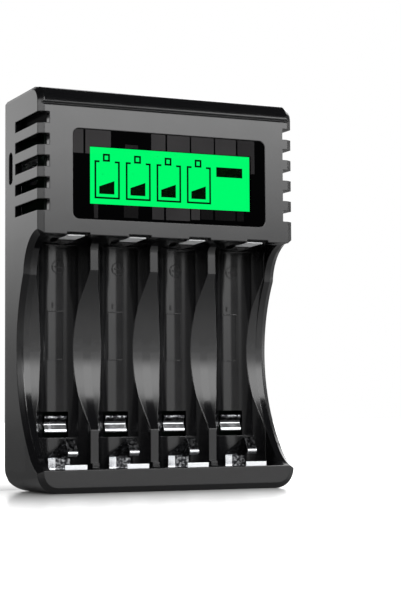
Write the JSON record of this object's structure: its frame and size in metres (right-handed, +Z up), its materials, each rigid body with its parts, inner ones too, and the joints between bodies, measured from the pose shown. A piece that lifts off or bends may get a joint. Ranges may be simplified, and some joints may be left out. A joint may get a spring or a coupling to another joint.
{
  "type": "battery charger",
  "caption": "Upright charger with scooped open bays for round cells, a lit display window, side vents and a small power inlet.",
  "frame": {"origin": "centre of the lower face of the bounding box, the charger standing on its lower end", "axes": "+X to the right seen from the front, the display and the open bays face -Y, +Z up"},
  "size_m": [0.072, 0.0274, 0.103],
  "materials": {
    "housing": "deep glossy black moulding",
    "window": "smoked glossy window with a clear field",
    "display_glass": "green lit liquid crystal glass",
    "light_plastic": "milky light plate",
    "contact_metal": "nickel-plated spring strip",
    "screw_metal": "plated steel",
    "can_metal": "bare aluminium can",
    "circuit_board": "very dark green circuit board",
    "dark_plastic": "dark moulded component",
    "pale_plastic": "pale insulating plastic"
  },
  "bodies": {
    "charger": {"front_shell": "housing", "back_shell": "housing", "display_window": "window", "lcd_panel": "display_glass", "lcd_pins": "contact_metal", "light_plate": "light_plastic", "display_board": "circuit_board", "display_screws": "screw_metal", "ribbon_sockets": "pale_plastic", "display_ribbon": "pale_plastic", "main_board": "circuit_board", "usb_socket": "screw_metal", "usb_insert": "dark_plastic", "controller_chip": "dark_plastic", "charge_transistors": "dark_plastic", "inductor": "dark_plastic", "capacitors": "can_metal", "chip_resistors": "pale_plastic", "board_screws": "screw_metal", "case_screws": "screw_metal", "positive_contact_1": "contact_metal", "positive_contact_2": "contact_metal", "positive_contact_3": "contact_metal", "positive_contact_4": "contact_metal"},
    "aa_leaf_1": {"aa_contact_1": "contact_metal"},
    "aa_leaf_2": {"aa_contact_2": "contact_metal"},
    "aa_leaf_3": {"aa_contact_3": "contact_metal"},
    "aa_leaf_4": {"aa_contact_4": "contact_metal"},
    "aaa_leaf_1": {"aaa_contact_1": "contact_metal"},
    "aaa_leaf_2": {"aaa_contact_2": "contact_metal"},
    "aaa_leaf_3": {"aaa_contact_3": "contact_metal"},
    "aaa_leaf_4": {"aaa_contact_4": "contact_metal"}
  },
  "joints": [
    {"name": "aa_leaf_1_spring", "type": "hinge", "parent": "charger", "child": "aa_leaf_1", "pos_m": [-0.02535, 0.0097, 0.0073], "axis": [1, 0, 0], "range_deg": [0, 3.4], "stiffness_Nm_per_rad": 0.05},
    {"name": "aa_leaf_2_spring", "type": "hinge", "parent": "charger", "child": "aa_leaf_2", "pos_m": [-0.00845, 0.0097, 0.0073], "axis": [1, 0, 0], "range_deg": [0, 3.4], "stiffness_Nm_per_rad": 0.05},
    {"name": "aa_leaf_3_spring", "type": "hinge", "parent": "charger", "child": "aa_leaf_3", "pos_m": [0.00845, 0.0097, 0.0073], "axis": [1, 0, 0], "range_deg": [0, 3.4], "stiffness_Nm_per_rad": 0.05},
    {"name": "aa_leaf_4_spring", "type": "hinge", "parent": "charger", "child": "aa_leaf_4", "pos_m": [0.02535, 0.0097, 0.0073], "axis": [1, 0, 0], "range_deg": [0, 3.4], "stiffness_Nm_per_rad": 0.05},
    {"name": "aaa_leaf_1_spring", "type": "hinge", "parent": "charger", "child": "aaa_leaf_1", "pos_m": [-0.02535, 0.0097, 0.01945], "axis": [1, 0, 0], "range_deg": [0, 6], "stiffness_Nm_per_rad": 0.05},
    {"name": "aaa_leaf_2_spring", "type": "hinge", "parent": "charger", "child": "aaa_leaf_2", "pos_m": [-0.00845, 0.0097, 0.01945], "axis": [1, 0, 0], "range_deg": [0, 6], "stiffness_Nm_per_rad": 0.05},
    {"name": "aaa_leaf_3_spring", "type": "hinge", "parent": "charger", "child": "aaa_leaf_3", "pos_m": [0.00845, 0.0097, 0.01945], "axis": [1, 0, 0], "range_deg": [0, 6], "stiffness_Nm_per_rad": 0.05},
    {"name": "aaa_leaf_4_spring", "type": "hinge", "parent": "charger", "child": "aaa_leaf_4", "pos_m": [0.02535, 0.0097, 0.01945], "axis": [1, 0, 0], "range_deg": [0, 6], "stiffness_Nm_per_rad": 0.05}
  ]
}
